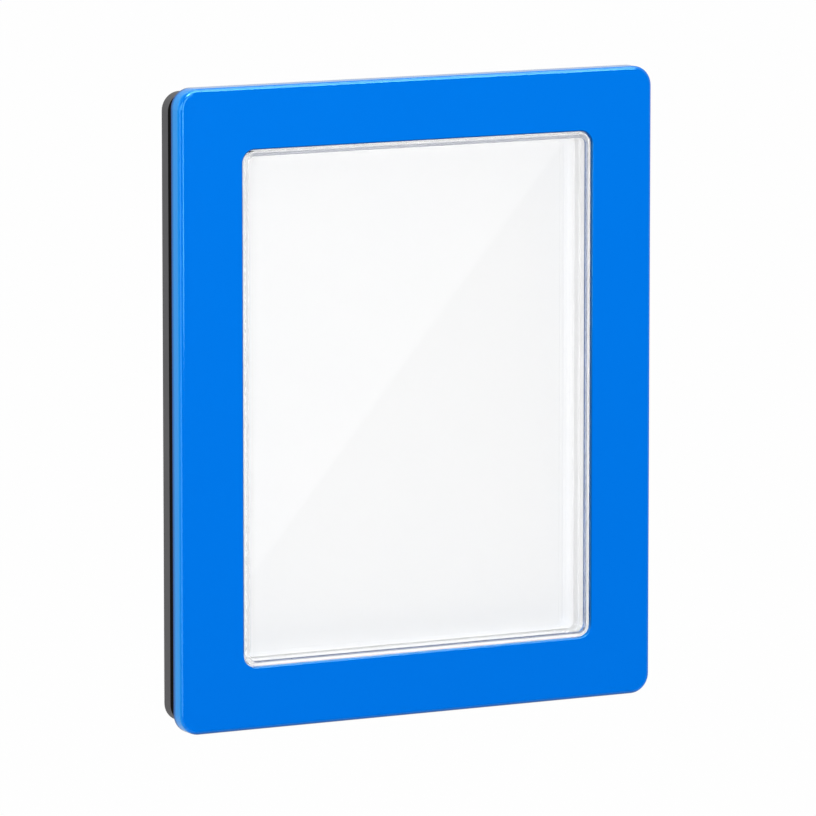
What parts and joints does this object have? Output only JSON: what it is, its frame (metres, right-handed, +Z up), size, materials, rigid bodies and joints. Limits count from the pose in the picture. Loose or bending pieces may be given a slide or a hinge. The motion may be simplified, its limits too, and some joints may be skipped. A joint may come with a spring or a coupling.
{
  "type": "magnetic photo frame",
  "caption": "Small upright photo frame: a glossy blue front with a clear tray over a blank card lifts off a grey magnetic back that clings to a steel door.",
  "frame": {"origin": "centre of the flat rear face, the face that meets the steel surface", "axes": "+Z up, +Y out of the rear face into the wall, the front looks along -Y, +X to the viewer's right"},
  "size_m": [0.082, 0.0083, 0.0988],
  "materials": {
    "blue_shell": "glossy moulded blue",
    "white_moulding": "satin moulded white",
    "clear_tray": "polished clear",
    "blank_card": "smooth white card",
    "foam_pad": "fine closed-cell foam",
    "black_moulding": "matt moulded black",
    "grey_moulding": "matt moulded dark grey",
    "nickel_magnet": "nickel plated",
    "zinc_steel": "zinc plated"
  },
  "bodies": {
    "back": {"back_plate": "grey_moulding", "rear_carrier": "black_moulding", "backing_pad": "foam_pad", "magnet_1": "nickel_magnet", "magnet_2": "nickel_magnet", "magnet_3": "nickel_magnet", "magnet_4": "nickel_magnet", "magnet_5": "nickel_magnet", "magnet_6": "nickel_magnet"},
    "front": {"front_bezel": "blue_shell", "inner_frame": "white_moulding", "window_tray": "clear_tray", "keeper_disc_1": "zinc_steel", "keeper_disc_2": "zinc_steel", "keeper_disc_3": "zinc_steel", "keeper_disc_4": "zinc_steel", "keeper_disc_5": "zinc_steel", "keeper_disc_6": "zinc_steel"},
    "photo": {"photo_card": "blank_card"}
  },
  "joints": [
    {"name": "front_lift", "type": "slide", "parent": "back", "child": "front", "axis": [0, -1, 0], "range_m": [0, 0.03]},
    {"name": "photo_lift", "type": "slide", "parent": "back", "child": "photo", "axis": [0, -1, 0], "range_m": [0, 0.015]}
  ],
  "couplings": [
    {"joint": "photo_lift", "follows": "front_lift", "ratio": 0.5}
  ]
}
